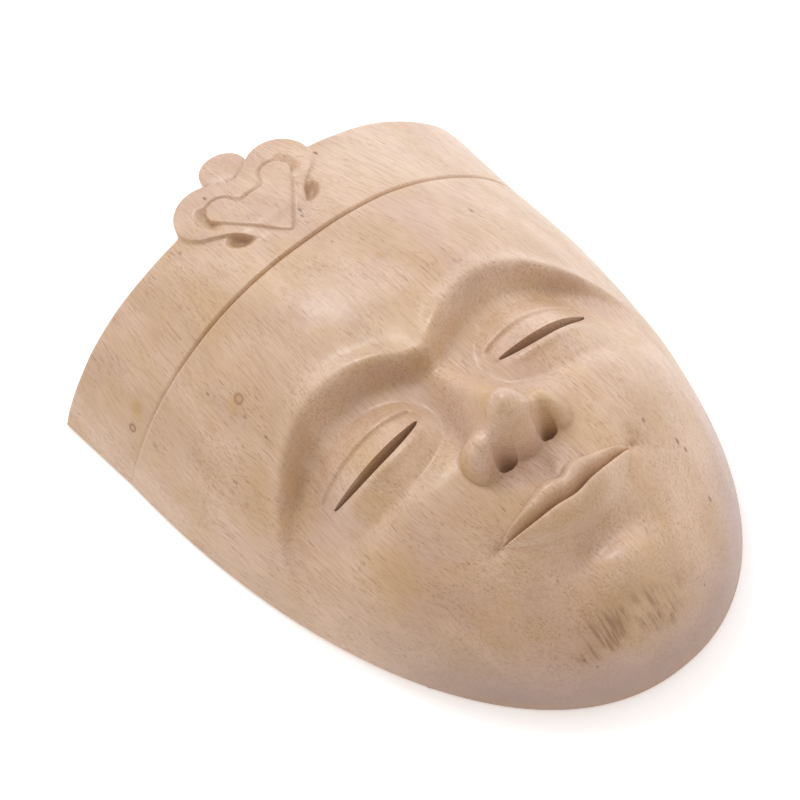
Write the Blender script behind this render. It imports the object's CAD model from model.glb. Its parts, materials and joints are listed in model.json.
"""The looks of a carved wooden mask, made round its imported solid.

The mask lies face up on its rim: X runs across the face, +Y towards the top of the head and +Z out of
the face, as in the solid. It is one piece of wood, carved here from the same sizes as the solid and then
finished: eased edges, a surface that a hand tool left slightly uneven, gouge marks in the hollow, and a
grain that runs through the block.

The carving is laid out above the chin, in metres, and in hundredths of the face's height inside the face.
The file is laid out as a Blender add-on and is run as a script.
"""

import json
import math

import bmesh
import bpy
import numpy as np
from bpy.props import FloatProperty, FloatVectorProperty, IntProperty, PointerProperty
from mathutils import Matrix, Vector, noise

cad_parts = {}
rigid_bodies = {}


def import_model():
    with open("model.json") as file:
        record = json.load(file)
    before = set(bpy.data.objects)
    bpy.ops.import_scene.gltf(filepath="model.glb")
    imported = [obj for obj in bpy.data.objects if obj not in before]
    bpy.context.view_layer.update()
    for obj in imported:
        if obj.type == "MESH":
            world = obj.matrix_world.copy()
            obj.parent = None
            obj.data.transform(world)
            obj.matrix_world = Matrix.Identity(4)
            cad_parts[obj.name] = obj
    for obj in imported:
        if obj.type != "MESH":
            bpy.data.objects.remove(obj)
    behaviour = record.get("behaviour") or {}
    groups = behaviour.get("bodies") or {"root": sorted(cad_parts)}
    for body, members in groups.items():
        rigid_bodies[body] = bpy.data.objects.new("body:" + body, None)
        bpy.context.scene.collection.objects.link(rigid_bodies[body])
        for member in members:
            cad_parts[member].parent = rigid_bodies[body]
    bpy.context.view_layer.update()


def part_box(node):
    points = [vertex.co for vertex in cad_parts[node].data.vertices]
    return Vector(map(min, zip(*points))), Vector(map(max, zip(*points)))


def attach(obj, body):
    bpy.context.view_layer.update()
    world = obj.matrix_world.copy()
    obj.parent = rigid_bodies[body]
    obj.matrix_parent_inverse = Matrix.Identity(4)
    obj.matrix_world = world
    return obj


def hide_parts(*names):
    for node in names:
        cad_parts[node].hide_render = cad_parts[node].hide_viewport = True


bl_info = {
    "name": "Carved wooden mask",
    "version": (1, 0, 0),
    "blender": (4, 5, 0),
    "location": "View3D > Sidebar > Mask",
    "description": "Carves a wooden mask, gives it its wood, and sets a plain stage round it",
    "category": "Object",
}

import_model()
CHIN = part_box("carved_mask")[0].y

# How finely the surface is cut, as counts of lines and as spacings in metres
COLUMNS = 168
FACE_SPACING = 0.00106
BAND_SPACING = 0.00095
GROOVE_SPACING = 0.0003
ROUND_STEPS = 5
RIM_STEPS = 3
SIDE_CROWDING = 1.25
CHIN_CROWDING = 1.1
HOLLOW_COLUMNS = 84
HOLLOW_ROWS = 112
HOLLOW_LINES = (92, 21)
CREST_COLUMNS = 31
LOBE_POINTS = 61
SLIT_POINTS = 41
SHARP_ANGLE = math.radians(52.0)

# How far a cutter reaches past the wood that it cuts
CUT_PAST = 0.004
WASTE_REACH = 0.050
WASTE_RISE = 0.030
BLANK_SPARE = 0.002
HOLLOW_LIP = 0.0006

# How round the block is
JAW_POWER = 2.15
SIDE_POWERS = (2.27, 1.28)
CHIN_POWERS = (2.6, 2.4)

# How high above the rim the hand starts to stray, and the largest bends that count as a cut
STRAY_RISE = 0.004
CLOSE_BEND = 1200.0
BROAD_BEND = 300.0

# The floor lies this far under the rim, so that the two don't flicker
FLOOR_GAP = 0.0003
KEY_PLACE = (0.10, 0.70, 0.95)

# Sockets of the colour Mix node, and the vector operations that give a number
MIX_A, MIX_B, MIX_COLOUR = 6, 7, 2
MEASURES = ("DISTANCE", "LENGTH", "DOT_PRODUCT")


def linear(hex_code):
    """A hex sRGB colour as the four linear numbers that Blender's sockets take."""
    value = int(hex_code.lstrip("#"), 16)
    parts = [((value >> shift) & 255) / 255.0 for shift in (16, 8, 0)]
    return tuple([c / 12.92 if c <= 0.04045 else ((c + 0.055) / 1.055) ** 2.4 for c in parts] + [1.0])


def length(name, default, description):
    """A length in metres that a user can change."""
    return FloatProperty(name=name, description=description, default=default, unit="LENGTH", precision=5)


def angle(name, degrees, description):
    """An angle that a user can change, given here in degrees."""
    return FloatProperty(name=name, description=description, default=math.radians(degrees), unit="ROTATION")


def colour(name, hex_code, description):
    """A colour that a user can change."""
    tone = linear(hex_code)
    return FloatVectorProperty(
        name=name, description=description, default=tone, size=4, min=0.0, max=1.0, subtype="COLOR"
    )


def amount(name, default, description):
    """A plain number that a user can change."""
    return FloatProperty(name=name, description=description, default=default, min=0.0)


class BlockSizes(bpy.types.PropertyGroup):
    """The block of wood, its hollow and the headband's groove."""

    face_height: length("Face height", 0.159, "From the chin up to the groove under the headband")
    band_height: length("Band height", 0.0330, "From the groove up to the cut top of the headband")
    groove_width: length("Groove width", 0.150, "Across the mask at the groove, on its rim")
    band_flare: length("Band flare", 0.0033, "How much wider the mask is at the band's top")
    face_depth: length("Face depth", 0.0512, "From the rim to the block's front at the nose")
    groove_depth: length("Groove depth", 0.0492, "From the rim to the front at the groove")
    band_top_depth: length("Band top depth", 0.0459, "From the rim to the front at the band's top")
    top_lean: amount("Top lean", 0.07, "How far the band's planes lean back for each unit of height")
    side_wall: length("Side wall", 0.0105, "Thickness of the wood at the rim")
    front_wall: length("Front wall", 0.0125, "Thickness of the wood behind the face")
    top_wall: length("Top wall", 0.0115, "Thickness of the wood at the band's top")
    nose_hollow: length("Nose hollow", 0.009, "How much deeper the hollow is behind the nose")
    line_width: length("Line width", 0.0024, "Width of the groove under the headband")
    line_depth: length("Line depth", 0.0012, "Depth of the groove under the headband")
    line_fade: amount("Groove fades", 0.75, "How much shallower the groove gets towards its left end")
    slit_width: length("Slit width", 0.0030, "Height of the eye slits at their middle")
    slit_end: length("Slit end", 0.0005, "Height of the eye slits at their ends")
    top_round: length("Top edge", 0.0009, "Radius of the headband's eased top edge")
    rim_round: length("Rim edge", 0.0008, "Radius of the rim's eased outer edge")


class OrnamentSizes(bpy.types.PropertyGroup):
    """The heart ornament and the boss behind it, their heights measured up from the groove."""

    middle_x: length("Ornament place", 0.0013, "Middle of the ornament, from the mask's middle")
    ribbon_proud: length("Ribbon height", 0.0010, "How far the ribbon stands out of the band")
    lobe_x: length("Lobe place", 0.0134, "Middle of a lobe, from the mask's middle")
    lobe_rise: length("Lobe rise", 0.0323, "Middle of a lobe, above the groove")
    lobe_radius: length("Lobe radius", 0.0104, "Radius of the ribbon's lobes")
    foot_rise: length("Foot rise", 0.0015, "Where the ribbon's sides meet, above the groove")
    foot_radius: length("Foot radius", 0.0030, "Radius of the ribbon's foot")
    middle_rise: length("Middle rise", 0.0212, "Middle of the ribbon between its lobes")
    middle_radius: length("Middle radius", 0.0144, "Radius of the ribbon between its lobes")
    ribbon_blend: length("Ribbon blend", 0.0058, "How softly the ribbon's lobes run together")
    ribbon_starts: length("Ribbon starts", 0.0095, "Where the ribbon starts to rise out of the band")
    ribbon_is_full: length("Ribbon is full", 0.0175, "Where the ribbon reaches its height")
    flank: length("Flank", 0.0004, "Width of the ribbon's steep outer side")
    edge_round: length("Ribbon edge", 0.0006, "Width of the ribbon's eased edge")
    edge_fall: length("Ribbon edge fall", 0.0003, "How far the ribbon's eased edge falls")
    boss_proud: length("Boss height", 0.0004, "How far the boss's edge stands out of the band")
    boss_crown: length("Boss crown", 0.0010, "How far the boss swells above its edge")
    boss_seam: length("Boss seam", 0.0004, "Width and depth of the line between boss and ribbon")
    boss_rise: length("Boss rise", 0.0424, "Middle of the boss, above the groove")
    boss_radius: length("Boss radius", 0.0074, "Radius of the boss")
    boss_ends: length("Boss ends", 0.001, "Where the boss's surface starts to fade beyond its edge")
    boss_fade: length("Boss fade", 0.003, "Over what width it fades")
    boss_starts: length("Boss starts", 0.0002, "How far under the band's top the boss starts")
    boss_is_full: length("Boss is full", 0.0025, "How far above the band's top it reaches its height")
    heart_lobe_x: length("Inner lobe place", 0.0101, "Middle of the inner heart's lobe, from the middle")
    heart_lobe_rise: length("Inner lobe rise", 0.0291, "Middle of the inner heart's lobe, above the groove")
    heart_lobe_radius: length("Inner lobe radius", 0.0050, "Radius of the inner heart's lobes")
    heart_point_rise: length("Inner point", 0.0074, "The inner heart's point, above the groove")
    heart_middle_rise: length("Inner middle rise", 0.0215, "Middle of the inner heart between its lobes")
    heart_middle_radius: length("Inner middle radius", 0.0064, "Radius of the inner heart between its lobes")
    heart_blend: length("Inner blend", 0.0035, "How softly the inner heart's lobes run together")
    heart_fullness: amount("Inner fullness", 0.7, "How much the inner heart's sides bow out, 1 for straight")
    cut_starts: length("Cut starts", 0.0125, "How far from the middle the cut starts to widen")
    cut_is_full: length("Cut is full", 0.0155, "Where it reaches its full width")
    cut_width_point: length("Cut width, point", 0.0009, "Outer side of the cut at the heart's point")
    cut_width_lobe: length("Cut width, lobe", 0.0033, "Outer side of the cut round the lobes")
    cut_width_inner: length("Cut width, inside", 0.0006, "Inner, steep side of the cut")
    cut_depth_point: length("Cut depth, point", 0.0006, "Depth of the cut at the heart's point")
    cut_depth_lobe: length("Cut depth, lobe", 0.0017, "Depth of the cut round the lobes")
    scoop_x: length("Scoop place", 0.0127, "Middle of a scoop beside the ribbon, from the middle")
    scoop_rise: length("Scoop rise", 0.0154, "Middle of a scoop, above the groove")
    scoop_length: length("Scoop length", 0.0050, "Half the length of a scoop")
    scoop_width: length("Scoop width", 0.0031, "Half the width of a scoop")
    scoop_depth: length("Scoop depth", 0.0023, "Depth of a scoop")
    scoop_power: amount("Scoop power", 1.4, "1 for a scoop with a sharp brink, more for a softer one")
    scoop_turn: angle("Scoop turn", 44.0, "Direction of a scoop, from across")
    crest_thickness: length("Crest thickness", 0.0095, "Thickness of the lobes where they stand free")
    crest_root: length("Crest root", 0.006, "How far the crest's flat back reaches down into the band")
    crest_back_reach: length("Crest back reach", 0.030, "Height of the cut behind the crest")


class FinishSettings(bpy.types.PropertyGroup):
    """What the tools and the wax left, and the wood's colours."""

    mark_width: length("Gouge width", 0.0085, "Width of one gouge mark in the hollow")
    mark_length: length("Gouge length", 0.016, "Length of one gouge mark along the grain")
    mark_depth: length("Gouge depth", 0.0007, "Depth of one gouge mark")
    mark_clear: length("Clear of rim", 0.004, "Height above the rim where the marks reach their depth")
    mark_seed: IntProperty(name="Seed", description="Where the gouge marks fall", default=4, min=0)
    hand_seed: IntProperty(name="Hand seed", description="Where the hand strayed", default=5, min=1)
    sway: length("Sway", 0.00035, "How far the hand strayed from the drawn shape")
    sway_size: length("Sway size", 0.026, "Over what distance it strayed")
    ripple: length("Ripple", 0.00009, "Depth of the shallow facets that the last cuts left")
    ripple_size: length("Ripple size", 0.0085, "Size of those facets")
    grain_turn: angle("Grain turn", 5.0, "How far the grain leans across the block")
    grain_fan: FloatProperty(
        name="Grain fan", description="How much more it leans to one side, per metre", default=4.4
    )
    wood_pale: colour("Pale wood", "#D9BBA2", "The lightest wood")
    wood_tan: colour("Tan wood", "#C3A382", "The wood's darker bands")
    wood_pink: colour("Pink wood", "#C9A998", "Pinkish grey clouds")
    wood_honey: colour("Honey wood", "#CCAA80", "Yellowish clouds")
    wood_bloom: colour("White wood", "#E9D3BE", "A whiter patch on the headband")
    wood_fibre: colour("Fibre", "#AC8460", "Dark fibre lines")
    wood_pore: colour("Pore", "#8A5C3C", "Open pores along the grain")
    wood_stain: colour("Stain", "#7E5A44", "Brown streaks near the chin")
    wood_smoke: colour("Smoke", "#9C837E", "Greyish shade low on the chin")
    wood_gum: colour("Gum", "#BD9556", "Yellowish spots of gum")
    wood_pin: colour("Pin knot", "#6F4B33", "Pin holes and the rings of knots")
    wood_heart: colour("Knot heart", "#C18B66", "The warm heart of a small knot")
    wood_recess: colour("Recess", "#94704A", "Wax and dust in the cuts")
    wood_raw: colour("Raw wood", "#BC9C7A", "The unwaxed hollow")


class StageSettings(bpy.types.PropertyGroup):
    """The camera, the light and the floor."""

    azimuth: angle("Azimuth", -24.58, "Direction that the camera looks in, from +Y towards -X")
    elevation: angle("Elevation", 52.96, "How steeply the camera looks down")
    roll: angle("Roll", -17.45, "How far the camera is turned about its own line of sight")
    distance: length("Distance", 0.78414, "From the camera to the headband's groove")
    shift_right: length("Shift right", 0.02114, "How far the camera stands to its own right")
    shift_up: length("Shift up", -0.01891, "How far the camera stands up from its aim")
    lens: FloatProperty(name="Lens", description="Focal length in millimetres", default=117.0)
    floor_size: length("Floor size", 6.0, "Width of the floor")
    floor_tone: colour("Floor", "#FAFBFD", "A pale, plain floor")
    floor_glow: amount("Floor glow", 0.32, "Light that comes through the floor, as in a light tent")
    sky_tone: colour("Sky", "#F8F9FF", "Light that comes from all sides")
    sky_shade: colour("Sky, dim side", "#FFEEDA", "Light from the dim side, warmer")
    sky_power: amount("Sky power", 0.90, "Strength of the light from all sides")
    sky_slope: FloatVectorProperty(
        name="Sky slope",
        description="How the sky brightens towards each direction",
        default=(0.36, 0.40, 0.05),
    )
    key_power: amount("Key power", 2.8, "Power of the overhead soft light, in watts")
    key_size: length("Key size", 0.30, "Width of the overhead soft light")


def smooth_step(low, high, value):
    """0 below low, 1 above high, and an even S between them."""
    t = np.clip((value - low) / (high - low), 0.0, 1.0)
    return t * t * (3.0 - 2.0 * t)


def mound(x, y, cx, cy, rx, ry):
    """A soft bell, 1 at its centre."""
    return np.exp(-(((x - cx) / rx) ** 2) - ((y - cy) / ry) ** 2)


def dome(x, y, cx, cy, rx, ry, power):
    """A bulge with a clear edge, 1 at its centre and 0 outside its ellipse."""
    q = ((x - cx) / rx) ** 2 + ((y - cy) / ry) ** 2
    return np.maximum(1.0 - q, 0.0) ** power


def soft_max(a, b, blend):
    """The higher of two surfaces, with the corner between them filled over the blend's height."""
    t = np.clip(0.5 + 0.5 * (a - b) / blend, 0.0, 1.0)
    return b + (a - b) * t + blend * t * (1.0 - t)


def taper(x, y, start, start_radius, end, end_radius, fullness=1.0):
    """Distance to a round-ended taper between two points, negative inside it. Its sides bow out below 1."""
    dx, dy = end[0] - start[0], end[1] - start[1]
    along = np.clip(((x - start[0]) * dx + (y - start[1]) * dy) / (dx * dx + dy * dy), 0.0, 1.0)
    gap = np.hypot(x - start[0] - along * dx, y - start[1] - along * dy)
    return gap - end_radius - (start_radius - end_radius) * (1.0 - along) ** fullness


def quarter_round(inside, radius, fall):
    """How far a surface falls towards an edge that it eases into, at a distance inside that edge."""
    t = np.clip(1.0 - inside / radius, 0.0, 1.0)
    return fall * (1.0 - np.sqrt(1.0 - t * t))


def half_width(block, y):
    """Half the block's width on the rim, at a height y above the chin."""
    t = np.clip(1.0 - y / block.face_height, 0.0, 1.0)
    face = 0.5 * block.groove_width * (1.0 - t**JAW_POWER) ** (1.0 / JAW_POWER)
    return face + 0.5 * block.band_flare * np.maximum(y - block.face_height, 0.0) / block.band_height


def middle_depth(block, y):
    """Height of the uncarved block above the rim, along its middle, without the chin's fall."""
    rise = np.maximum(y - block.face_height, 0.0) / block.band_height
    band = block.groove_depth + (block.band_top_depth - block.groove_depth) * rise
    swell = np.sin(0.5 * np.pi * np.clip((block.face_height - y) / (0.4 * block.face_height), 0.0, 1.0))
    return band + (block.face_depth - block.groove_depth) * swell


def dome_share(across, down):
    """Share of the middle's height that the uncarved block keeps at a point, 0 on the rim.

    across is 1 at the block's side, and down is 0 at the groove and 1 at the chin.
    """
    reach = (across**JAW_POWER + down**JAW_POWER) ** (1.0 / JAW_POWER)
    turn = down**2 / np.maximum(across**2 + down**2, 1e-9)
    outer = SIDE_POWERS[0] + (CHIN_POWERS[0] - SIDE_POWERS[0]) * turn
    inner = SIDE_POWERS[1] + (CHIN_POWERS[1] - SIDE_POWERS[1]) * turn
    return np.maximum(1.0 - reach**outer, 0.0) ** (1.0 / inner)


def block_height(block, x, y):
    """Height of the uncarved block above the rim at a point of the face."""
    side = np.where(y > block.face_height, half_width(block, y), 0.5 * block.groove_width)
    down = np.maximum(1.0 - y / block.face_height, 0.0)
    return middle_depth(block, y) * dome_share(np.abs(x) / side, down)


def slit_line(x):
    """Height of the eye slit above the chin, in hundredths of the face."""
    across = (x - 18.8) / 9.4
    return 55.2 - 2.3 * (1.0 - across**2) + 0.06 * (x - 18.8)


def eyes(x, y):
    """Brow, socket, lids and the line above the upper lid."""
    middle = np.hypot(x, 3.0)
    brow = 70.5 - 6.6 * ((middle - 19.0) / 15.0) ** 2
    outward = 1.0 - smooth_step(28.0, 42.0, x)
    under = smooth_step(-1.4, 2.6, brow - y)
    socket = under * smooth_step(40.0, 58.0, y) * outward
    ridge = 1.0 * np.exp(-(((y - brow - 1.4) / 2.8) ** 2)) * outward * smooth_step(0.0, 7.0, x)
    slit = slit_line(x)
    ball = dome(x, y, 18.8, 54.2, 13.4, np.where(y > 54.2, 11.2, 8.8), 1.3)
    ends = np.maximum(1.0 - ((x - 18.8) / 10.8) ** 2, 0.0)
    lid_edge = 0.9 * smooth_step(-0.35, 0.35, y - slit) * np.exp(-np.maximum(y - slit, 0.0) / 3.2) * ends**0.6
    lower = 0.55 * np.exp(-(((y - slit + 2.0) / 1.1) ** 2)) * ends
    crease_at = slit + 1.0 + 5.2 * np.maximum(1.0 - ((x - 18.8) / 12.0) ** 2, 0.0) ** 0.75
    crease = -0.6 * np.exp(-(((y - crease_at) / 0.5) ** 2)) * smooth_step(0.0, 0.22, ends)
    return ridge - 4.3 * socket + 4.0 * ball + lid_edge + lower + crease


def nose(x, y):
    """Height of the nose above the face round it."""
    down = np.clip((64.0 - y) / 25.0, 0.0, 1.0)
    ridge = (2.0 + 10.6 * down**1.1) * smooth_step(76.0, 60.0, y)
    half = 5.6 + 4.6 * down**1.5
    q = np.minimum(x / half, 1.0)
    bridge = ridge * (0.5 + 0.5 * np.cos(np.pi * q)) ** 0.9
    tip = 13.4 * dome(x, y, 0.0, 39.8, 5.8, 6.8, 0.66)
    wing = 7.6 * dome(x, y, 6.2, 38.8, 4.6, 5.2, 0.85)
    whole = soft_max(soft_max(bridge, tip, 2.4) - 0.6, wing, 3.6) - 0.9
    under = 34.2 + 1.3 * np.exp(-(((x - 4.6) / 2.0) ** 2)) - 0.4 * np.exp(-((x / 1.8) ** 2))
    nostril = -3.2 * dome(x, y, 4.3, 36.0, 2.0, 1.5, 0.7)
    return np.maximum(whole, 0.0) * smooth_step(under, under + 2.8, y) + nostril


def lip(share):
    """Section of a lip, 0 at the line between the lips and 1 at its outer edge."""
    share = np.clip(share, 0.0, 1.0)
    return np.maximum(1.0 - np.abs(2.0 * share**0.72 - 1.0) ** 2.2, 0.0) ** 0.9


def mouth(x, y):
    """Lips, the line between them, the corners and the dip above the upper lip."""
    share = np.minimum(x / 14.4, 1.0)
    line = 24.3 + 2.3 * share**2.2 - 0.5 * np.exp(-((x / 2.8) ** 2))
    bow = 0.6 * np.exp(-(((x - 3.0) / 1.9) ** 2)) - 0.5 * np.exp(-((x / 1.4) ** 2))
    top = np.maximum(4.4 * (1.0 - share**1.7) + bow, 0.3)
    low = np.maximum(5.2 * np.maximum(1.0 - share**2.2, 0.0) ** 0.85, 0.3)
    fullness = np.maximum(1.0 - share**2.6, 0.0) ** 0.7
    lips = fullness * (2.0 * lip((y - line) / top) + 2.5 * lip((line - y) / low))
    part = -1.3 * np.exp(-(((y - line) / 0.7) ** 2)) * (1.0 - smooth_step(13.0, 16.0, x))
    corner = -0.8 * mound(x, y, 15.4, 26.8, 1.9, 2.1)
    dip = -0.7 * mound(x, y, 0.0, 31.4, 1.6, 2.6)
    return lips + part + corner + dip


def face_carving(x, y):
    """Height that the face's carving adds to the block. All three are in hundredths of the face."""
    x = np.abs(x)
    muzzle = 3.6 * mound(x, y, 0.0, 25.0, 15.0, 12.0)
    chin = 4.0 * mound(x, y, 0.0, 9.0, 8.5, 5.4)
    under_lip = -1.6 * mound(x, y, 0.0, 16.4, 9.5, 2.8)
    cheek = 2.6 * mound(x, y, 22.0, 37.0, 11.0, 12.0)
    forehead = 0.8 * mound(x, y, 0.0, 84.0, 20.0, 10.0)
    return muzzle + chin + under_lip + cheek + forehead + eyes(x, y) + nose(x, y) + mouth(x, y)


def ribbon_edge(orn, x, rise):
    """Distance to the ribbon's outline, negative inside."""
    foot = (0.0, orn.foot_rise)
    lobe = np.hypot(np.abs(x) - orn.lobe_x, rise - orn.lobe_rise) - orn.lobe_radius
    middle = taper(x, rise, (0.0, orn.middle_rise), orn.middle_radius, foot, orn.foot_radius)
    return -soft_max(-lobe, -middle, orn.ribbon_blend)


def heart_edge(orn, x, rise):
    """Distance to the inner heart's outline, negative inside."""
    point = (0.0, orn.heart_point_rise)
    lobe_at = (orn.heart_lobe_x, orn.heart_lobe_rise)
    lobe = taper(np.abs(x), rise, lobe_at, orn.heart_lobe_radius, point, 0.0, orn.heart_fullness)
    middle = taper(x, rise, (0.0, orn.heart_middle_rise), orn.heart_middle_radius, point, 0.0)
    return -soft_max(-lobe, -middle, orn.heart_blend)


def boss_edge(orn, x, rise):
    """Distance to the boss's outline, negative inside."""
    return np.hypot(x, rise - orn.boss_rise) - orn.boss_radius


def band_carving(block, orn, x, rise):
    """Height that the headband's carving adds to the block, above the groove's line."""
    x = x - orn.middle_x
    faint = 1.0 - block.line_fade * smooth_step(0.20, 0.46, -x / block.groove_width)
    line = -block.line_depth * faint * np.maximum(1.0 - np.abs(rise) / (0.5 * block.line_width), 0.0) ** 1.8
    border = ribbon_edge(orn, x, rise)
    start = smooth_step(orn.ribbon_starts, orn.ribbon_is_full, rise)
    ribbon = orn.ribbon_proud * start - quarter_round(-border, orn.edge_round, orn.edge_fall * start)
    boss_gap = boss_edge(orn, x, rise)
    boss = orn.boss_proud + orn.boss_crown * np.clip(-boss_gap / orn.boss_radius, 0.0, 1.0) ** 0.6
    boss = boss - orn.boss_seam * np.exp(-((border / orn.boss_seam) ** 2))
    boss = boss + (ribbon - boss) * smooth_step(orn.boss_ends, orn.boss_ends + orn.boss_fade, boss_gap)
    full = block.band_height + orn.boss_is_full
    behind = boss * smooth_step(block.band_height - orn.boss_starts, full, rise)
    raised = behind + (ribbon - behind) * smooth_step(orn.flank, -0.3 * orn.flank, border)
    edge = heart_edge(orn, x, rise)
    wide = smooth_step(orn.cut_starts, orn.cut_is_full, np.abs(x))
    outer_width = orn.cut_width_point + (orn.cut_width_lobe - orn.cut_width_point) * wide
    outer = np.clip(1.0 - edge / outer_width, 0.0, 1.0)
    inner = np.clip(1.0 + edge / orn.cut_width_inner, 0.0, 1.0)
    depth = orn.cut_depth_point + (orn.cut_depth_lobe - orn.cut_depth_point) * wide
    cut = -depth * np.where(edge > 0.0, outer, inner)
    turn_x, turn_y = math.cos(orn.scoop_turn), math.sin(orn.scoop_turn)
    along = (np.abs(x) - orn.scoop_x) * turn_x + (rise - orn.scoop_rise) * turn_y
    aside = (np.abs(x) - orn.scoop_x) * turn_y - (rise - orn.scoop_rise) * turn_x
    bowl = dome(along, aside, 0.0, 0.0, orn.scoop_length, orn.scoop_width, orn.scoop_power)
    scoop = -orn.scoop_depth * bowl * smooth_step(-0.3 * orn.flank, orn.flank, border)
    beside = smooth_step(0.0, orn.boss_ends, np.minimum(border, boss_gap))
    top = beside * quarter_round(block.band_height - rise, block.top_round, block.top_round)
    return line + raised + cut + scoop - top


def front(block, orn, x, y):
    """Height of the finished front above the rim."""
    unit = block.face_height / 100.0
    base = block_height(block, x, y)
    low = y < block.face_height - 0.5 * block.line_width
    fade = smooth_step(0.0, 0.35, base / block.face_depth)
    face = unit * face_carving(x / unit, y / unit) * fade
    return base + np.where(low, face, band_carving(block, orn, x, y - block.face_height))


def lean(block, y, z):
    """The band's planes lean back from the face: the higher a point, the nearer the chin."""
    return y - block.top_lean * z * lean_share(block, y)


def lean_share(block, y):
    """How much of the band's lean a point has: none at the chin, and all of it from the groove up."""
    return np.clip(y / block.face_height, 0.0, 1.0) ** 1.5


def spread(t, crowding):
    """Spaces the lines of a grid from -1 to 1, closer together towards its sides."""
    return np.sin(crowding * t) / math.sin(crowding)


def footprint(block, a, b, wall, top):
    """Places the points of a square grid on the mask's outline: a round jaw below, straight sides above.

    a runs from -1 to 1 across it, b from -1 at the chin to 0 at the groove and 1 at the top. A wall draws
    the outline in from the block's own, as the hollow's is.
    """
    a = spread(a, SIDE_CROWDING)
    low = spread(np.minimum(b, 0.0), CHIN_CROWDING)
    across = a * np.sqrt(1.0 - low**2 / 2.0)
    down = -low * np.sqrt(1.0 - a**2 / 2.0)
    turn = np.arctan2(down, np.abs(across))
    reach = (np.cos(turn) ** JAW_POWER + np.sin(turn) ** JAW_POWER) ** (-1.0 / JAW_POWER)
    reach = np.where(b < 0.0, reach, 1.0)
    across = across * reach
    down = down * reach
    y = block.face_height - (block.face_height - wall) * down
    y = y + (top - block.face_height) * np.maximum(b, 0.0)
    side = np.where(y > block.face_height, half_width(block, y), 0.5 * block.groove_width) - wall
    return across * side, y, np.abs(across), down


def even_lines(start, end, spacing):
    """Evenly spaced values from start up to end, which is left out."""
    count = max(round((end - start) / spacing), 1)
    return np.linspace(start, end, count, endpoint=False)


def row_lines(block, top):
    """Where the rows of the blank's grid lie: -1 at the chin, 0 at the groove and 1 at the top.

    They close up at the groove and at the band's eased top edge, whose rows follow its round.
    """
    near = 0.75 * block.line_width
    stretch = CHIN_CROWDING / math.sin(CHIN_CROWDING) * block.face_height
    face = even_lines(-1.0, -near / stretch, FACE_SPACING / block.face_height)
    below = even_lines(-near / stretch, 0.0, GROOVE_SPACING / stretch)
    turns = np.linspace(0.0, 0.5 * math.pi, ROUND_STEPS + 1)
    edge = block.band_height - block.top_round * (1.0 - np.sin(turns))
    crest = top - block.face_height
    above = [
        even_lines(0.0, near, GROOVE_SPACING),
        even_lines(near, edge[0], BAND_SPACING),
        edge,
        even_lines(edge[-1] + 0.5 * BAND_SPACING, crest, BAND_SPACING),
        [crest],
    ]
    return np.concatenate([face, below, np.concatenate(above) / crest])


def object_from(sheet, name, collection):
    """Turns a bmesh into an object of the collection."""
    bmesh.ops.recalc_face_normals(sheet, faces=sheet.faces)
    mesh = bpy.data.meshes.new(name)
    sheet.to_mesh(mesh)
    sheet.free()
    thing = bpy.data.objects.new(name, mesh)
    collection.objects.link(thing)
    return thing


def open_grid(columns, rows):
    """An open square grid, from -1 to 1 each way."""
    sheet = bmesh.new()
    bmesh.ops.create_grid(sheet, x_segments=columns, y_segments=rows, size=1.0)
    return sheet


def places(sheet):
    """The two coordinates of each point of a grid."""
    table = np.array([vertex.co[:2] for vertex in sheet.verts], dtype=float)
    return table[:, 0], table[:, 1]


def move_points(block, sheet, x, y, z):
    """Puts the points of a sheet at their places, leaning as the band does."""
    for vertex, place in zip(sheet.verts, zip(x, lean(block, y, z), z)):
        vertex.co = place


def frozen(thing):
    """The mesh of an object as its modifiers leave it. The object is removed."""
    bpy.context.view_layer.update()
    graph = bpy.context.evaluated_depsgraph_get()
    mesh = bpy.data.meshes.new_from_object(thing.evaluated_get(graph))
    bpy.data.objects.remove(thing)
    return mesh


def boundary(sheet):
    """The open edges of a sheet."""
    return [edge for edge in sheet.edges if edge.is_boundary]


def extruded(sheet):
    """Extrudes a sheet's open edge, and gives the new points."""
    made = bmesh.ops.extrude_edge_only(sheet, edges=boundary(sheet))["geom"]
    return [item for item in made if isinstance(item, bmesh.types.BMVert)]


def inward(sheet):
    """For each point of a sheet's open edge, the way towards the middle along the rim's plane."""
    ways = {}
    middle = Vector((0.0, 0.5 * sum(vertex.co.y for vertex in sheet.verts) / len(sheet.verts)))
    for vertex in sheet.verts:
        if not vertex.is_boundary:
            continue
        beside = [edge.other_vert(vertex).co for edge in vertex.link_edges if edge.is_boundary]
        along = (beside[0] - beside[1]).xy
        way = Vector((-along.y, along.x)).normalized()
        ways[vertex] = way if way.dot(middle - vertex.co.xy) > 0.0 else -way
    return ways


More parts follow.
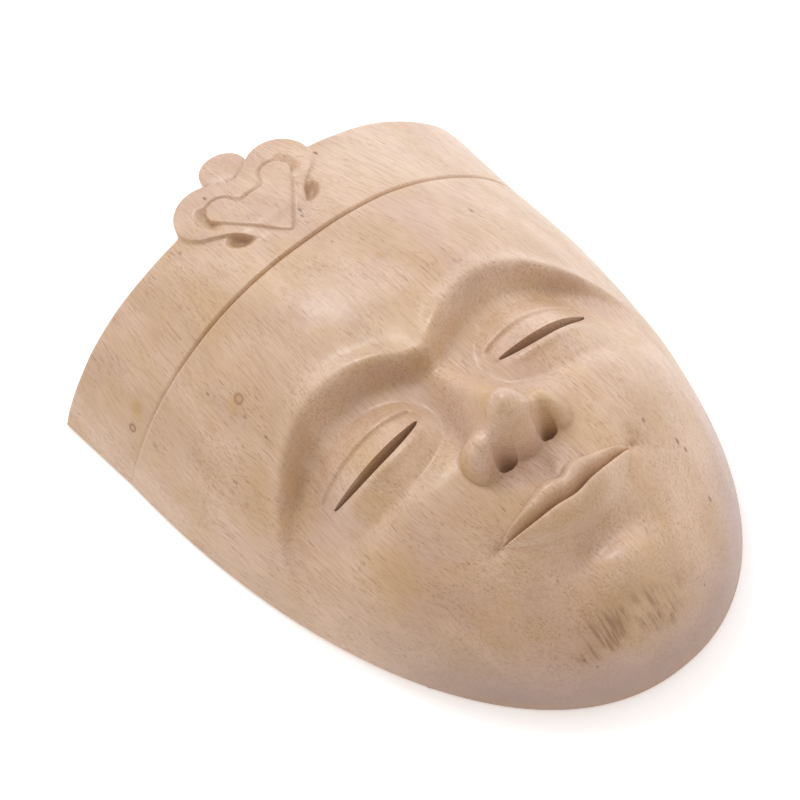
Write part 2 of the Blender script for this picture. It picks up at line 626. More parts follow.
def close_on_rim(block, sheet):
    """Closes the carved sheet: a flat wall at its far end, an eased outer edge and the rim's plane below."""
    sheet.verts.ensure_lookup_table()
    edge_points = [vertex for vertex in sheet.verts if vertex.is_boundary]
    far = max(vertex.co.y + block.top_lean * vertex.co.z for vertex in edge_points)
    wall = []
    for vertex in edge_points:
        if vertex.co.y + block.top_lean * vertex.co.z > far - 0.0001:
            wall.append(vertex)
        else:
            vertex.co.z = block.rim_round
    wall.sort(key=lambda vertex: vertex.co.x)
    for corner in (wall[0], wall[-1]):
        corner.co.z = block.rim_round
    for vertex in wall:
        vertex.co.y = far - block.top_lean * vertex.co.z
    sheet.faces.new(wall)
    drawn_in = 0.0
    for turn in np.linspace(0.0, 0.5 * math.pi, RIM_STEPS + 1)[1:]:
        bmesh.ops.extrude_edge_only(sheet, edges=boundary(sheet))
        ways = inward(sheet)
        step = block.rim_round * (1.0 - math.cos(turn)) - drawn_in
        for vertex, way in ways.items():
            vertex.co.x += step * way.x
            vertex.co.y += step * way.y
            vertex.co.z = block.rim_round * (1.0 - math.sin(turn))
        drawn_in += step
    for vertex in ways:
        vertex.co.z = 0.0
    bmesh.ops.holes_fill(sheet, edges=boundary(sheet), sides=0)
    bmesh.ops.triangulate(sheet, faces=[face for face in sheet.faces if len(face.verts) > 4])


def refine(block, sheet, lines, top, chosen):
    """Halves the grid's squares wherever chosen(x, y) says so."""
    a, b = places(sheet)
    x, y, _, _ = footprint(block, a, on_lines(b, lines), 0.0, top)
    inside = chosen(x, y)
    sheet.verts.index_update()
    edges = [edge for edge in sheet.edges if all(inside[vertex.index] for vertex in edge.verts)]
    bmesh.ops.subdivide_edges(sheet, edges=edges, cuts=1, use_grid_fill=True)


def on_lines(b, lines):
    """Moves evenly spaced rows, from -1 to 1, to the rows that are wanted."""
    return np.interp(b, np.linspace(-1.0, 1.0, len(lines)), lines)


def near_features(unit):
    """Where the face is carved closely: eyes, nose and mouth."""

    def chosen(x, y):
        x, y = np.abs(x) / unit, y / unit
        eye = (np.abs(x - 19.0) < 13.5) & (np.abs(y - 57.0) < 9.5)
        middle = (x < 17.0) & (y > 17.0) & (y < 48.0)
        return eye | middle

    return chosen


def near_lines(unit):
    """Where the face has its narrowest forms: the slits, the creases, the nostrils and the lips' line."""

    def chosen(x, y):
        x, y = np.abs(x) / unit, y / unit
        slit = (np.abs(x - 18.8) < 11.5) & (y - slit_line(x) > -3.6) & (y - slit_line(x) < 7.6)
        nostril = (x < 11.5) & (y > 32.5) & (y < 41.0)
        lips = (x < 16.5) & (np.abs(y - 25.5) < 3.0)
        return slit | nostril | lips

    return chosen


def near_ornament(block, orn):
    """Where the headband is carved closely."""
    half = orn.lobe_x + orn.lobe_radius + 0.5 * BAND_SPACING + orn.flank

    def chosen(x, y):
        rise = y - block.face_height
        return (np.abs(x - orn.middle_x) < half) & (rise > block.line_width)

    return chosen


def near_cuts(block, orn):
    """Where the ornament has its edges and cuts."""

    def chosen(x, y):
        x = x - orn.middle_x
        rise = y - block.face_height
        border = np.abs(ribbon_edge(orn, x, rise) + 0.5 * orn.edge_round)
        heart = heart_edge(orn, x, rise)
        rim = (border < orn.edge_round) & (rise > orn.ribbon_starts)
        cut = (heart > -1.6 * orn.cut_width_inner) & (heart < 0.6 * orn.cut_width_lobe)
        boss = np.abs(boss_edge(orn, x, rise)) < orn.edge_round
        scoop = np.hypot(np.abs(x) - orn.scoop_x, rise - orn.scoop_rise) < 1.2 * orn.scoop_length
        return (rim | cut | boss | scoop) & (rise > orn.heart_point_rise - orn.flank)

    return chosen


def make_blank(block, orn, collection):
    """The solid block with its front carved, as high as the boss all the way across."""
    unit = block.face_height / 100.0
    top = block.face_height + orn.boss_rise + orn.boss_radius + BLANK_SPARE
    lines = row_lines(block, top)
    sheet = open_grid(COLUMNS, len(lines) - 1)
    for chosen in (near_features(unit), near_ornament(block, orn), near_lines(unit), near_cuts(block, orn)):
        refine(block, sheet, lines, top, chosen)
    a, b = places(sheet)
    x, y, _, _ = footprint(block, a, on_lines(b, lines), 0.0, top)
    move_points(block, sheet, x, y, front(block, orn, x, y))
    close_on_rim(block, sheet)
    return object_from(sheet, "wood_block", collection)


def gouge_tree(wood):
    """Geometry nodes that press a hand gouge's marks into the hollow's surface."""
    tree = bpy.data.node_groups.new("Gouge marks", "GeometryNodeTree")
    sockets = tree.interface
    sockets.new_socket("Geometry", in_out="INPUT", socket_type="NodeSocketGeometry")
    for name in ("Mark Width", "Mark Length", "Mark Depth", "Clear of Rim"):
        sockets.new_socket(name, in_out="INPUT", socket_type="NodeSocketFloat").subtype = "DISTANCE"
    sockets.new_socket("Seed", in_out="INPUT", socket_type="NodeSocketInt")
    sockets.new_socket("Geometry", in_out="OUTPUT", socket_type="NodeSocketGeometry")
    given = add(tree, "NodeGroupInput").outputs
    place = add(tree, "GeometryNodeInputPosition").outputs[0]
    widths = {"X": given["Mark Width"], "Y": given["Mark Length"], "Z": given["Mark Width"]}
    widths = add(tree, "ShaderNodeCombineXYZ", widths).outputs[0]
    cells = vector(tree, "DIVIDE", place, widths)
    mark = add(
        tree,
        "ShaderNodeTexVoronoi",
        {"Vector": cells, "W": given["Seed"], "Scale": 1.0, "Randomness": 0.75},
        voronoi_dimensions="4D",
        feature="F1",
    ).outputs["Distance"]
    cup = number(tree, "SUBTRACT", 0.5, number(tree, "POWER", mark, 2.0))
    height = add(tree, "ShaderNodeSeparateXYZ", {0: place}).outputs["Z"]
    clear = ramp(tree, height, HOLLOW_LIP, given["Clear of Rim"])
    depth = number(tree, "MULTIPLY", cup, given["Mark Depth"])
    depth = number(tree, "MULTIPLY", depth, clear)
    normal = add(tree, "GeometryNodeInputNormal").outputs[0]
    offset = add(tree, "ShaderNodeVectorMath", {0: normal, "Scale": depth}, operation="SCALE").outputs[0]
    pressed = {"Geometry": given["Geometry"], "Offset": offset}
    pressed = add(tree, "GeometryNodeSetPosition", pressed).outputs[0]
    real = add(tree, "GeometryNodeRealizeInstances", {"Geometry": pressed}).outputs[0]
    finished = add(tree, "GeometryNodeSetMaterial", {"Geometry": real, "Material": wood}).outputs[0]
    add(tree, "NodeGroupOutput", {"Geometry": finished})
    return tree


def add(tree, kind, inputs=None, **settings):
    """Adds a node with its settings, and links each input to a socket or gives it a value."""
    node = tree.nodes.new(kind)
    for name, value in settings.items():
        setattr(node, name, value)
    for key, value in (inputs or {}).items():
        if isinstance(value, bpy.types.NodeSocket):
            tree.links.new(value, node.inputs[key])
        else:
            node.inputs[key].default_value = value
    return node


def number(tree, operation, *values):
    """What a Math node makes of sockets or numbers."""
    return add(tree, "ShaderNodeMath", dict(enumerate(values)), operation=operation).outputs[0]


def vector(tree, operation, *values):
    """What a Vector Math node makes of sockets or vectors."""
    node = add(tree, "ShaderNodeVectorMath", dict(enumerate(values)), operation=operation)
    return node.outputs["Value" if operation in MEASURES else "Vector"]


def ramp(tree, value, start, end, low=0.0, high=1.0, kind="SMOOTHSTEP"):
    """Turns a value from start to end into one from low to high, in an even S or in a straight line."""
    wanted = {"Value": value, "From Min": start, "From Max": end, "To Min": low, "To Max": high}
    return add(tree, "ShaderNodeMapRange", wanted, interpolation_type=kind).outputs[0]


def make_hollow(block, finish, wood, collection):
    """The hollow back with its gouge marks, as the solid that is cut out of the block."""
    low = np.linspace(-1.0, 0.0, HOLLOW_LINES[0], endpoint=False)
    lines = np.concatenate([low, np.linspace(0.0, 1.0, HOLLOW_LINES[1])])
    sheet = open_grid(HOLLOW_COLUMNS, HOLLOW_ROWS)
    a, b = places(sheet)
    top = block.face_height + block.band_height - block.top_wall
    x, y, across, down = footprint(block, a, on_lines(b, lines), block.side_wall, top)
    unit = block.face_height / 100.0
    relief = block.nose_hollow * mound(x / unit, y / unit, 0.0, 40.0, 9.0, 13.0)
    z = (middle_depth(block, y) - block.front_wall + relief) * dome_share(across, down)
    move_points(block, sheet, x, y, np.maximum(z, HOLLOW_LIP))
    dressed = object_from(sheet, "hollow_surface", collection)
    marks = dressed.modifiers.new("Gouge marks", "NODES")
    marks.node_group = gouge_tree(wood)
    wanted = {
        "Mark Width": finish.mark_width,
        "Mark Length": finish.mark_length,
        "Mark Depth": finish.mark_depth,
        "Clear of Rim": finish.mark_clear,
        "Seed": finish.mark_seed,
    }
    for item in marks.node_group.interface.items_tree:
        if item.in_out == "INPUT" and item.name in wanted:
            marks[item.identifier] = wanted[item.name]
    sheet = bmesh.new()
    sheet.from_mesh(frozen(dressed))
    for vertex in extruded(sheet):
        vertex.co.y += block.top_lean * (vertex.co.z + CUT_PAST) * lean_share(block, vertex.co.y)
        vertex.co.z = -CUT_PAST
    bmesh.ops.holes_fill(sheet, edges=boundary(sheet), sides=0)
    return object_from(sheet, "hollow", collection)


def prism(block, name, outline, low, high, collection):
    """A solid with this outline in x and y, from a low to a high z, leaning as the band does."""
    curve = bpy.data.curves.new(name, "CURVE")
    curve.dimensions = "2D"
    curve.fill_mode = "BOTH"
    curve.extrude = 0.5 * (high - low)
    spline = curve.splines.new("POLY")
    spline.points.add(len(outline) - 1)
    for point, (x, y) in zip(spline.points, outline):
        point.co = (x, y, 0.0, 1.0)
    spline.use_cyclic_u = True
    drawn = bpy.data.objects.new(name, curve)
    collection.objects.link(drawn)
    sheet = bmesh.new()
    sheet.from_mesh(frozen(drawn))
    bpy.data.curves.remove(curve)
    bmesh.ops.remove_doubles(sheet, verts=sheet.verts, dist=1e-6)
    for vertex in sheet.verts:
        z = vertex.co.z + 0.5 * (high + low)
        vertex.co = (vertex.co.x, lean(block, vertex.co.y, z), z)
    return object_from(sheet, name, collection)


def arc(cx, cy, radius, start, end, points):
    """Points along an arc, from one angle to another in radians."""
    angles = np.linspace(start, end, points)
    return [(cx + radius * math.cos(t), cy + radius * math.sin(t)) for t in angles]


def crest_outline(block, orn):
    """The outline of the lobes and the boss, from the left lobe's foot over the top to the right one's."""
    gap = math.hypot(orn.lobe_x, orn.boss_rise - orn.lobe_rise)
    along = (gap**2 + orn.boss_radius**2 - orn.lobe_radius**2) / (2.0 * gap)
    aside = math.sqrt(max(orn.boss_radius**2 - along**2, 0.0))
    way = (orn.lobe_x / gap, (orn.lobe_rise - orn.boss_rise) / gap)
    meet_x = along * way[0] - aside * way[1]
    meet_rise = orn.boss_rise + along * way[1] + aside * way[0]
    lobe_angle = math.atan2(meet_rise - orn.lobe_rise, meet_x - orn.lobe_x)
    boss_angle = math.atan2(meet_rise - orn.boss_rise, meet_x)
    right = arc(orn.lobe_x, orn.lobe_rise, orn.lobe_radius, lobe_angle, -0.5 * math.pi, LOBE_POINTS)
    over = arc(0.0, orn.boss_rise, orn.boss_radius, math.pi - boss_angle, boss_angle, LOBE_POINTS)
    left = [(-x, rise) for x, rise in reversed(right)]
    return [(orn.middle_x + x, block.face_height + rise) for x, rise in left + over[1:-1] + right]


def make_waste(block, orn, collection):
    """The wood above the headband that is cut away, all but the crest of the ornament."""
    band_top = block.face_height + block.band_height
    half = 0.5 * (block.groove_width + block.band_flare) + 2.0 * CUT_PAST
    far = band_top + WASTE_REACH
    square = [(-half, band_top), (half, band_top), (half, far), (-half, far)]
    high = block.face_depth + WASTE_RISE
    waste = prism(block, "waste", square, -CUT_PAST, high, collection)
    crest = prism(block, "crest", crest_outline(block, orn), CUT_PAST, high + CUT_PAST, collection)
    sheet = open_grid(CREST_COLUMNS, CREST_COLUMNS)
    a, b = places(sheet)
    x = orn.middle_x + a * (orn.lobe_x + orn.lobe_radius + CUT_PAST)
    y = band_top - orn.crest_root + 0.5 * (b + 1.0) * orn.crest_back_reach
    move_points(block, sheet, x, y, block_height(block, x, y) - orn.crest_thickness)
    for vertex in extruded(sheet):
        vertex.co.z = high + 2.0 * CUT_PAST
    bmesh.ops.holes_fill(sheet, edges=boundary(sheet), sides=0)
    back = object_from(sheet, "crest_back", collection)
    combine(crest, back, "INTERSECT")
    combine(waste, crest, "DIFFERENCE")
    return waste


def make_slit(block, side, collection):
    """One eye slit, on the right for a side of 1 and the left for -1, tapering to its two ends."""
    unit = block.face_height / 100.0
    t = np.linspace(-1.0, 1.0, SLIT_POINTS)
    x = 18.8 + 9.6 * t
    half = 0.5 * (block.slit_end + (block.slit_width - block.slit_end) * (1.0 - t**2) ** 0.7)
    middle = slit_line(x) * unit
    upper = list(zip(side * x * unit, middle + half))
    lower = list(zip(side * x * unit, middle - half))
    name = "slit_right" if side > 0 else "slit_left"
    return prism(block, name, upper + lower[::-1], 0.4 * block.face_depth, 2.0 * block.face_depth, collection)


def combine(target, other, operation):
    """Cuts, joins or keeps what two solids share, with the exact solver."""
    boolean = target.modifiers.new(other.name, "BOOLEAN")
    boolean.operation = operation
    boolean.solver = "EXACT"
    boolean.object = other


def stray(points, reach, size, seed):
    """A smooth, small push for each point, different from place to place, as a hand tool strays."""
    shift = Vector((seed, 3.0 * seed, 7.0 * seed))
    return reach * np.array([noise.noise_vector(Vector(point) / size + shift) for point in points])


def table_of(items, name, width, kind=float):
    """One property of all of a mesh's points or edges, a row for each."""
    table = np.empty(width * len(items), dtype=kind)
    items.foreach_get(name, table)
    return table.reshape(-1, width)


def hand_work(mesh, finish):
    """Takes the drawn shape's evenness away, and leaves the rim on its plane."""
    points = table_of(mesh.vertices, "co", 3)
    noise.seed_set(finish.hand_seed)
    push = stray(points, finish.sway, finish.sway_size, 1.0)
    push += stray(points, finish.ripple, finish.ripple_size, 2.0)
    push *= smooth_step(0.0, STRAY_RISE, points[:, 2])[:, None]
    mesh.vertices.foreach_set("co", (points + push).ravel())
    mesh.update()


def spread_out(values, pairs, steps):
    """Averages each point's value with its neighbours', a number of times."""
    count = np.bincount(pairs.ravel(), minlength=len(values))
    for _ in range(steps):
        total = np.bincount(pairs[:, 0], values[pairs[:, 1]], len(values))
        total += np.bincount(pairs[:, 1], values[pairs[:, 0]], len(values))
        values = 0.5 * values + 0.5 * total / np.maximum(count, 1)
    return values


def paint_masks(mesh, block):
    """Stores how far each point lies in a cut, and how far inside the hollow, for the wood to read."""
    count = len(mesh.vertices)
    points = table_of(mesh.vertices, "co", 3)
    normals = table_of(mesh.vertices, "normal", 3)
    pairs = table_of(mesh.edges, "vertices", 2, np.int32)
    step = points[pairs[:, 1]] - points[pairs[:, 0]]
    squared = np.maximum((step**2).sum(axis=1), 1e-9)
    bend = (normals[pairs[:, 0]] * step).sum(axis=1) / squared
    other = -(normals[pairs[:, 1]] * step).sum(axis=1) / squared
    total = np.bincount(pairs[:, 0], bend, count) + np.bincount(pairs[:, 1], other, count)
    bends = total / np.maximum(np.bincount(pairs.ravel(), minlength=count), 1)
    close = spread_out(np.clip(bends, -CLOSE_BEND, CLOSE_BEND), pairs, 5)
    broad = spread_out(np.clip(bends, -BROAD_BEND, BROAD_BEND), pairs, 60)
    recess = 0.7 * smooth_step(40.0, 420.0, close) + 0.5 * smooth_step(8.0, 70.0, broad)
    y = points[:, 1] - CHIN
    y = y + block.top_lean * points[:, 2] * lean_share(block, y)
    outer = np.maximum(block_height(block, points[:, 0], y), 0.001)
    hollow = smooth_step(0.86, 0.72, points[:, 2] / outer) * smooth_step(0.3, -0.2, normals[:, 2])
    for name, values in (("recess", np.clip(recess, 0.0, 1.0)), ("hollow", hollow)):
        layer = mesh.attributes.new(name, "FLOAT", "POINT")
        layer.data.foreach_set("value", values)


# Small knots, each with its place on the front above the chin, its radius and how dark it is
KNOTS = (
    (-0.0435, 0.1344, 0.0019, 0.55),
    (-0.0664, 0.1649, 0.0015, 0.75),
    (0.0556, 0.0502, 0.0021, 0.60),
)

# Pin holes and pin knots, the same way
PINS = (
    (0.0311, 0.0464, 0.0006, 0.85),
    (0.0359, 0.0389, 0.0008, 0.80),
    (0.0365, 0.0363, 0.0007, 0.85),
    (0.0327, 0.0233, 0.0008, 0.80),
    (-0.0257, 0.1871, 0.0006, 0.55),
    (-0.0093, 0.1960, 0.0006, 0.90),
    (0.0255, 0.1875, 0.0007, 1.00),
    (0.0072, 0.1699, 0.0006, 0.85),
    (0.0062, 0.1676, 0.0006, 0.75),
    (-0.0479, 0.1448, 0.0005, 0.60),
    (-0.0456, 0.1289, 0.0005, 0.50),
    (-0.0455, 0.1188, 0.0005, 0.55),
    (-0.0731, 0.1873, 0.0005, 0.50),
    (-0.0448, 0.1614, 0.0004, 0.45),
    (-0.0654, 0.1539, 0.0008, 0.35),
    (0.0457, 0.1394, 0.0008, 0.80),
    (0.0479, 0.1281, 0.0005, 0.60),
    (0.0059, 0.1521, 0.0005, 0.45),
    (0.0270, 0.1210, 0.0010, 0.30),
    (-0.0233, 0.0116, 0.0005, 0.70),
    (-0.0214, 0.0089, 0.0005, 0.70),
    (0.0150, 0.0064, 0.0005, 0.60),
)

# Yellowish spots of gum, each with its place and its radius
GUM = (
    (0.0116, 0.1371, 0.0017),
    (-0.0626, 0.1658, 0.0034),
    (0.0177, 0.1871, 0.0017),
    (-0.0455, 0.1344, 0.0034),
)

# The whiter patch on the headband, the same way
BLOOM = (0.0400, 0.1760, 0.0200)

# How far knots and pins are drawn out along the grain, how dark they are, and a knot's ring
KNOT_STRETCH = 0.8
PIN_STRETCH = 0.5
SPOT_SHARE = 0.85
HEART_SHARE = 0.7
RING_MIDDLE = 0.66
RING_REACH = 0.36

# Brown stains near the chin, each with its middle, its half sizes and how dark it is
STAINS = (
    ((-0.0085, 0.0095, 0.0240), (0.0190, 0.0090, 0.0070), 0.55),
    ((0.0010, 0.0052, 0.0200), (0.0065, 0.0045, 0.0040), 0.70),
    ((-0.0200, 0.0105, 0.0190), (0.0090, 0.0060, 0.0030), 0.40),
)


def waxed_pale_wood(block, orn, finish):
    """Pale, close-grained hardwood such as jempinis or hibiscus, carved, sanded and waxed to a soft satin.

    The eye gets a tan wood with pinkish and yellowish clouds, short dark pores that run along the grain and
    turn to dots where it is cut across, a few pin knots, and darker wax in the cuts. It is a solid pattern
    on Object coordinates, so the grain runs through the block from every side.
    """
    wood = bpy.data.materials.new("waxed_pale_wood")
    wood.use_nodes = True
    tree = wood.node_tree
    shader = tree.nodes["Principled BSDF"]
    place = add(tree, "ShaderNodeTexCoord").outputs["Object"]

    # The grain leans to one side over the band and brow, and wanders by a few millimetres on its way down
    parts = add(tree, "ShaderNodeSeparateXYZ", {0: place}).outputs
    low, high = CHIN + 0.78 * block.face_height, CHIN + 1.3 * block.face_height
    rise = ramp(tree, parts["Y"], low, high, 0.0, high - low, "LINEAR")
    slope = number(tree, "MULTIPLY_ADD", parts["X"], finish.grain_fan, math.tan(finish.grain_turn))
    aside = add(tree, "ShaderNodeCombineXYZ", {"X": number(tree, "MULTIPLY", slope, rise)}).outputs[0]
    leaning = vector(tree, "ADD", place, aside)
    wander = vector(tree, "MULTIPLY", place, (22.0, 9.0, 22.0))
    wander = add(tree, "ShaderNodeTexNoise", {"Vector": wander, "Scale": 1.0, "Detail": 1.0}).outputs["Color"]
    wander = vector(tree, "SUBTRACT", wander, (0.5, 0.5, 0.5))
    wander = vector(tree, "MULTIPLY", wander, (0.014, 0.0, 0.014))
    grain = vector(tree, "ADD", leaning, wander)

    def pattern(across, along, low, high, detail=2.0, seed=0.0, start=grain, deep=None):
        """A noise, its size in metres across and along the grain, turned to a 0 to 1 factor."""
        scale = (1.0 / across, 1.0 / along, 1.0 / (deep or across))
        at = vector(tree, "MULTIPLY_ADD", start, scale, (seed, seed, seed))
        raw = add(tree, "ShaderNodeTexNoise", {"Vector": at, "Scale": 1.0, "Detail": detail})
        return ramp(tree, raw.outputs[0], low, high)

    def scaled(factor, by):
        """A factor times a number or another factor."""
        return number(tree, "MULTIPLY", factor, by)

    def on_front(x, y):
        """A place on the front that is given above the chin."""
        z = float(front(block, orn, np.array([x]), np.array([y]))[0])
        return (x, CHIN + float(lean(block, y, z)), z)

    def cloud(x, y, radius):
        """A soft round spot on the front."""
        return ramp(tree, vector(tree, "DISTANCE", place, on_front(x, y)), 1.4 * radius, 0.2 * radius)

    def radii_from(x, y, radius, stretch):
        """Distance from a spot's middle in radii of the spot, which is drawn out along the grain."""
        apart = vector(tree, "SUBTRACT", place, on_front(x, y))
        apart = vector(tree, "MULTIPLY", apart, (1.0 / radius, stretch / radius, 1.0 / radius))
        return vector(tree, "LENGTH", apart)

    tan = pattern(0.013, 0.034, 0.36, 0.68, detail=3.0, seed=3.1)
    pink = pattern(0.017, 0.026, 0.44, 0.68, detail=3.0, seed=11.7, start=place)
    honey = pattern(0.014, 0.024, 0.46, 0.70, detail=3.0, seed=27.3, start=place)
    fibre = pattern(0.0007, 0.0090, 0.40, 0.72, detail=3.0, seed=5.9)
    # Real pores are 0.15 mm wide; they are drawn at 0.3 mm so that they show
    pore = pattern(0.00034, 0.0030, 0.56, 0.68, detail=1.0, seed=8.3)
    crowd = pattern(0.007, 0.018, 0.36, 0.62, detail=2.0, seed=14.2)
    fleck = pattern(0.00055, 0.0042, 0.66, 0.72, detail=1.0, seed=43.0)
    long = pattern(0.00045, 0.0230, 0.74, 0.79, detail=0.5, seed=61.0)
    mottle = pattern(0.0012, 0.0018, 0.35, 0.65, detail=2.0, seed=19.9, start=place)

    layers = [
        (finish.wood_tan, scaled(tan, 0.75)),
        (finish.wood_pink, scaled(pink, 0.60)),
        (finish.wood_honey, scaled(honey, 0.65)),
        (finish.wood_bloom, scaled(cloud(*BLOOM), 0.55)),
        (finish.wood_fibre, scaled(fibre, 0.34)),
        (finish.wood_pore, scaled(scaled(pore, 0.34), crowd)),
        (finish.wood_pore, scaled(scaled(fleck, 0.30), crowd)),
        (finish.wood_pore, scaled(long, 0.55)),
    ]

    # The chin and the low rim are greyer, and brown stains run down over the chin
    low = ramp(tree, parts["Z"], 0.026, 0.004)
    near = ramp(tree, parts["Y"], CHIN + 0.085, CHIN + 0.020)
    layers.append((finish.wood_smoke, scaled(scaled(low, near), 0.75)))
    streak = pattern(0.0008, 0.0100, 0.47, 0.62, detail=3.0, seed=31.0, deep=0.010)
    patch = pattern(0.0050, 0.0090, 0.30, 0.54, detail=3.0, seed=37.0, deep=0.009)
    for middle, size, share in STAINS:
        apart = vector(tree, "DIVIDE", vector(tree, "SUBTRACT", place, on_mask(middle)), size)
        inside = ramp(tree, vector(tree, "LENGTH", apart), 1.2, 0.4)
        layers.append((finish.wood_honey, scaled(inside, 0.30)))
        layers.append((finish.wood_stain, scaled(scaled(inside, patch), 0.35 * share)))
        layers.append((finish.wood_stain, scaled(scaled(scaled(inside, patch), streak), share)))
    for spot in GUM:
        layers.append((finish.wood_gum, scaled(cloud(*spot), 0.40)))

    # Knots have a dark ring round a warmer heart, and pins are dark dots
    for x, y, radius, dark in KNOTS:
        share = radii_from(x, y, radius, KNOT_STRETCH)
        heart = ramp(tree, share, 1.0, 0.5, kind="LINEAR")
        layers.append((finish.wood_heart, scaled(heart, HEART_SHARE * dark)))
        off_ring = number(tree, "ABSOLUTE", number(tree, "SUBTRACT", share, RING_MIDDLE))
        layers.append((finish.wood_pin, scaled(ramp(tree, off_ring, RING_REACH, 0.0), SPOT_SHARE * dark)))
    for x, y, radius, dark in PINS:
        dot = ramp(tree, radii_from(x, y, radius, PIN_STRETCH), 1.1, 0.35)
        layers.append((finish.wood_pin, scaled(dot, SPOT_SHARE * dark)))

    recess = add(tree, "ShaderNodeAttribute", attribute_name="recess").outputs["Fac"]
    hollow = add(tree, "ShaderNodeAttribute", attribute_name="hollow").outputs["Fac"]
    layers.append((finish.wood_recess, scaled(recess, 0.55)))
    layers.append((finish.wood_raw, scaled(hollow, 0.6)))

    tone = finish.wood_pale
    for shade, factor in layers:
        mix = add(tree, "ShaderNodeMix", {0: factor, MIX_A: tone, MIX_B: shade}, data_type="RGBA")
        tone = mix.outputs[MIX_COLOUR]
    rough = ramp(tree, mottle, 0.0, 1.0, 0.40, 0.52, "LINEAR")
    rough = number(tree, "MULTIPLY_ADD", hollow, 0.3, rough)

    # Pores are cuts in the wax, fibres stand up by hundredths of a millimetre
    height = number(tree, "MULTIPLY", fibre, -0.35)
    height = number(tree, "MULTIPLY_ADD", pore, -0.6, height)
    height = number(tree, "MULTIPLY_ADD", mottle, 0.25, height)
    bump = add(tree, "ShaderNodeBump", {"Height": height, "Strength": 0.5, "Distance": 0.00005}).outputs[0]
    for name, socket in (("Base Color", tone), ("Roughness", rough), ("Normal", bump)):
        tree.links.new(socket, shader.inputs[name])
    for name, value in (("Coat Weight", 0.45), ("Coat Roughness", 0.25), ("IOR", 1.5)):
        shader.inputs[name].default_value = value
    return wood


def on_mask(place):
    """A place given above the chin, in the solid's own frame."""
    return (place[0], place[1] + CHIN, place[2])


def plain_floor(stage):
    """Smooth matt card, nearly white, which gives a soft shadow and no pattern."""
    card = bpy.data.materials.new("matt_white_card")
    card.use_nodes = True
    shader = card.node_tree.nodes["Principled BSDF"]
    shader.inputs["Base Color"].default_value = stage.floor_tone
    shader.inputs["Roughness"].default_value = 0.9
    shader.inputs["Emission Color"].default_value = stage.floor_tone
    shader.inputs["Emission Strength"].default_value = stage.floor_glow
    return card


def camera_place(block, stage):
    """Where the camera stands and how it is turned."""
    sin_a, cos_a = math.sin(stage.azimuth), math.cos(stage.azimuth)
    sin_e, cos_e = math.sin(stage.elevation), math.cos(stage.elevation)
    look = Vector((-sin_a * cos_e, cos_a * cos_e, -sin_e))
    level = Vector((cos_a, sin_a, 0.0))
    upright = level.cross(look)
    right = math.cos(stage.roll) * level + math.sin(stage.roll) * upright
    up = math.cos(stage.roll) * upright - math.sin(stage.roll) * level
    aim = Vector((0.0, CHIN + block.face_height, 0.0))
    place = aim - look * stage.distance + right * stage.shift_right + up * stage.shift_up
    turned = Matrix((right, up, -look)).transposed().to_4x4()
    return Matrix.Translation(place) @ turned


def soft_light(name, place, aim, size, power):
    """A square soft light that points at a place."""
    lamp = bpy.data.lights.new(name, "AREA")
    lamp.shape = "SQUARE"
    lamp.size = size
    lamp.energy = power
    light = bpy.data.objects.new(name, lamp)
    light.location = place
    light.rotation_euler = (Vector(aim) - Vector(place)).to_track_quat("-Z", "Y").to_euler()
    bpy.context.scene.collection.objects.link(light)
    return light


def sloping_sky(stage):
    """A sky of soft white light, brighter towards one side, as by a window."""
    world = bpy.data.worlds.new("soft_sky")
    world.use_nodes = True
    tree = world.node_tree
    way = add(tree, "ShaderNodeTexCoord").outputs["Generated"]
    slope = vector(tree, "DOT_PRODUCT", way, tuple(stage.sky_slope))
    power = number(tree, "MAXIMUM", number(tree, "ADD", slope, stage.sky_power), 0.0)
    most = Vector(stage.sky_slope).length
    side = ramp(tree, slope, -most, most, kind="LINEAR")
    tone = {0: side, MIX_A: stage.sky_shade, MIX_B: stage.sky_tone}
    tone = add(tree, "ShaderNodeMix", tone, data_type="RGBA").outputs[MIX_COLOUR]
    sky = tree.nodes["Background"]
    tree.links.new(tone, sky.inputs["Color"])
    tree.links.new(power, sky.inputs["Strength"])
    return world


class MASK_OT_carve(bpy.types.Operator):
    """Carve the mask from its block: front, headband, ornament, hollow and eye slits"""

    bl_idname = "mask.carve_wood"
    bl_label = "Carve mask"

    def execute(self, context):
        block = context.scene.mask_block
        orn = context.scene.mask_ornament
        finish = context.scene.mask_finish
        wood = waxed_pale_wood(block, orn, finish)
        workshop = bpy.data.collections.new("workshop")
        context.scene.collection.children.link(workshop)
        uncut = make_blank(block, orn, workshop)
        cutters = [
            make_waste(block, orn, workshop),
            make_hollow(block, finish, wood, workshop),
            make_slit(block, 1, workshop),
            make_slit(block, -1, workshop),
        ]
        for cutter in cutters:
            combine(uncut, cutter, "DIFFERENCE")
        mesh = frozen(uncut)
        for cutter in list(workshop.objects):
            bpy.data.objects.remove(cutter)
        bpy.data.collections.remove(workshop)
        mesh.transform(Matrix.Translation((0.0, CHIN, 0.0)))
        hand_work(mesh, finish)
        mesh.polygons.foreach_set("use_smooth", np.ones(len(mesh.polygons), dtype=bool))
        mesh.set_sharp_from_angle(angle=SHARP_ANGLE)
        paint_masks(mesh, block)
        mesh.materials.clear()
        mesh.materials.append(wood)
        mesh.name = "mask_carving"
        piece = bpy.data.objects.new("mask_carving", mesh)
        context.scene.collection.objects.link(piece)
        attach(piece, "root")
        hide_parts("carved_mask")
        return {"FINISHED"}


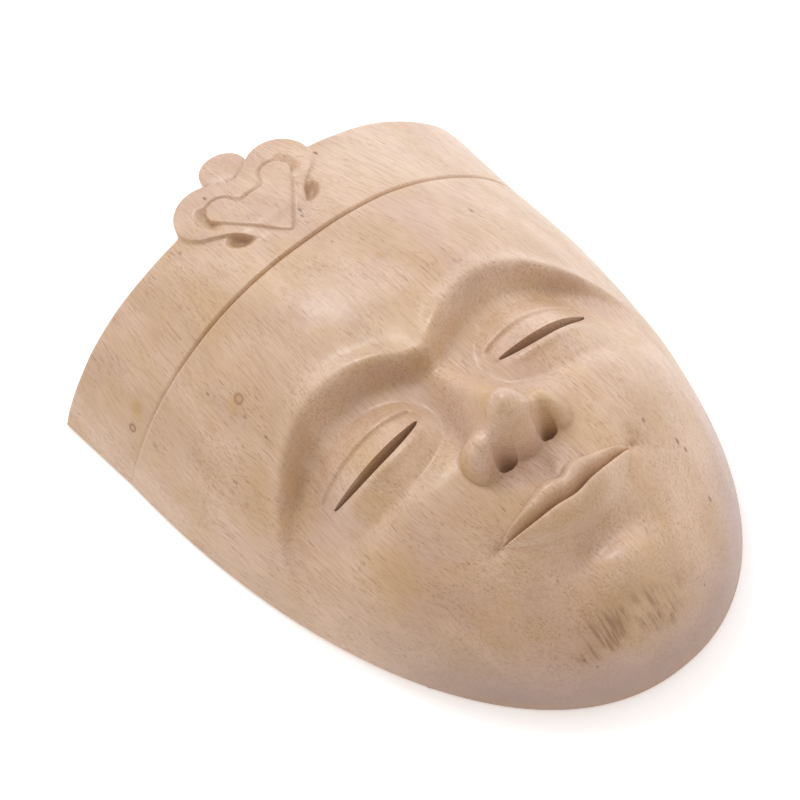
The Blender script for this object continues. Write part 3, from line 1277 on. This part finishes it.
class MASK_OT_stage(bpy.types.Operator):
    """Lay a pale floor and set the camera and the soft lights"""

    bl_idname = "mask.set_stage"
    bl_label = "Set stage"

    def execute(self, context):
        scene = context.scene
        stage = scene.mask_stage
        block = scene.mask_block
        half = 0.5 * stage.floor_size
        mesh = bpy.data.meshes.new("floor")
        corners = [(-half, -half, 0.0), (half, -half, 0.0), (half, half, 0.0), (-half, half, 0.0)]
        mesh.from_pydata(corners, [], [(0, 1, 2, 3)])
        mesh.materials.append(plain_floor(stage))
        floor = bpy.data.objects.new("floor", mesh)
        floor.location.z = -FLOOR_GAP
        scene.collection.objects.link(floor)
        lens = bpy.data.cameras.new("camera")
        lens.lens = stage.lens
        lens.clip_start = 0.01
        camera = bpy.data.objects.new("camera", lens)
        camera.matrix_world = camera_place(block, stage)
        scene.collection.objects.link(camera)
        scene.camera = camera
        soft_light("key_light", KEY_PLACE, (0.0, 0.0, 0.0), stage.key_size, stage.key_power)
        scene.world = sloping_sky(stage)
        scene.view_settings.view_transform = "Standard"
        return {"FINISHED"}


class MASK_PT_panel(bpy.types.Panel):
    """Lists the mask's sizes, finish and stage, and the buttons that make them"""

    bl_label = "Carved wooden mask"
    bl_idname = "MASK_PT_panel"
    bl_space_type = "VIEW_3D"
    bl_region_type = "UI"
    bl_category = "Mask"

    def draw(self, context):
        scene = context.scene
        for title, group in (
            ("Block", scene.mask_block),
            ("Ornament", scene.mask_ornament),
            ("Finish", scene.mask_finish),
            ("Stage", scene.mask_stage),
        ):
            box = self.layout.box()
            box.label(text=title)
            for name in group.__annotations__:
                box.prop(group, name)
        for operator in (MASK_OT_carve, MASK_OT_stage):
            self.layout.operator(operator.bl_idname)


CLASSES = (
    BlockSizes,
    OrnamentSizes,
    FinishSettings,
    StageSettings,
    MASK_OT_carve,
    MASK_OT_stage,
    MASK_PT_panel,
)


def register():
    for kind in CLASSES:
        bpy.utils.register_class(kind)
    bpy.types.Scene.mask_block = PointerProperty(type=BlockSizes)
    bpy.types.Scene.mask_ornament = PointerProperty(type=OrnamentSizes)
    bpy.types.Scene.mask_finish = PointerProperty(type=FinishSettings)
    bpy.types.Scene.mask_stage = PointerProperty(type=StageSettings)


def unregister():
    for name in ("mask_block", "mask_ornament", "mask_finish", "mask_stage"):
        delattr(bpy.types.Scene, name)
    for kind in reversed(CLASSES):
        bpy.utils.unregister_class(kind)


def corners(box):
    """A box as plain lists of numbers."""
    return [[float(c) for c in corner] for corner in box]


def main():
    register()
    bpy.ops.mask.carve_wood()
    bpy.ops.mask.set_stage()


if __name__ == "__main__":
    main()
